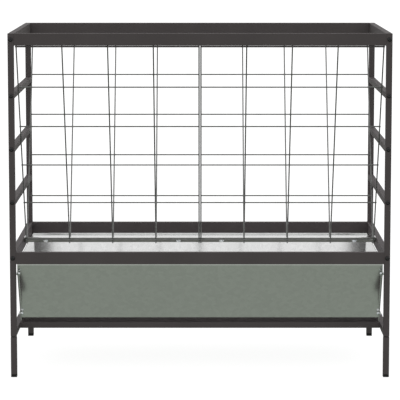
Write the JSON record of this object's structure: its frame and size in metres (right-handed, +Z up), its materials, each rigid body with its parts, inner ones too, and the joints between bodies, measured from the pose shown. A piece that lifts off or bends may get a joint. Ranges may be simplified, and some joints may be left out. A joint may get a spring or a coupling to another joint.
{
  "type": "free-standing hay rack with trough",
  "caption": "Free-standing feeding rack: a bolted tube frame on legs holds two leaning wire mesh sides in a V above a folded sheet-metal trough.",
  "frame": {"origin": "on the ground, at the middle of the footprint, under the centre of the rack", "axes": "+Z up, +X along the long rails to the right as seen from the front, +Y from the front to the back"},
  "size_m": [1.0166, 0.5886, 0.918],
  "materials": {
    "frame_paint": "satin dark grey-brown powder coat",
    "foot_cap": "matte black moulded plastic",
    "mesh_wire": "dull galvanised welded wire",
    "trough_sheet_metal": "smooth galvanised sheet, fairly glossy",
    "dark_fastener": "black oxide steel, satin"
  },
  "bodies": {
    "root": {"post_front_left": "frame_paint", "leg_front_left": "frame_paint", "foot_cap_front_left": "foot_cap", "post_front_right": "frame_paint", "leg_front_right": "frame_paint", "foot_cap_front_right": "foot_cap", "post_back_left": "frame_paint", "leg_back_left": "frame_paint", "foot_cap_back_left": "foot_cap", "post_back_right": "frame_paint", "leg_back_right": "frame_paint", "foot_cap_back_right": "foot_cap", "top_rail_front": "frame_paint", "mid_rail_front": "frame_paint", "trough_rail_front": "frame_paint", "top_rail_back": "frame_paint", "mid_rail_back": "frame_paint", "trough_rail_back": "frame_paint", "top_side_rail_left": "frame_paint", "rung_1_left": "frame_paint", "rung_2_left": "frame_paint", "rung_3_left": "frame_paint", "mid_side_rail_left": "frame_paint", "low_side_rail_left": "frame_paint", "top_side_rail_right": "frame_paint", "rung_1_right": "frame_paint", "rung_2_right": "frame_paint", "rung_3_right": "frame_paint", "mid_side_rail_right": "frame_paint", "low_side_rail_right": "frame_paint", "mesh_front_left": "mesh_wire", "mesh_front_right": "mesh_wire", "mesh_back_left": "mesh_wire", "mesh_back_right": "mesh_wire", "centre_bar": "trough_sheet_metal", "trough_sheet": "trough_sheet_metal", "trough_end_left": "trough_sheet_metal", "trough_end_right": "trough_sheet_metal", "bolt_top_front_left": "dark_fastener", "bolt_top_front_right": "dark_fastener", "bolt_top_back_left": "dark_fastener", "bolt_top_back_right": "dark_fastener", "bolt_rung_1_front_left": "dark_fastener", "bolt_rung_1_front_right": "dark_fastener", "bolt_rung_1_back_left": "dark_fastener", "bolt_rung_1_back_right": "dark_fastener", "bolt_rung_2_front_left": "dark_fastener", "bolt_rung_2_front_right": "dark_fastener", "bolt_rung_2_back_left": "dark_fastener", "bolt_rung_2_back_right": "dark_fastener", "bolt_rung_3_front_left": "dark_fastener", "bolt_rung_3_front_right": "dark_fastener", "bolt_rung_3_back_left": "dark_fastener", "bolt_rung_3_back_right": "dark_fastener", "bolt_mid_front_left": "dark_fastener", "bolt_mid_front_right": "dark_fastener", "bolt_mid_back_left": "dark_fastener", "bolt_mid_back_right": "dark_fastener", "bar_bolt_left": "dark_fastener", "bar_bolt_right": "dark_fastener"}
  },
  "joints": []
}
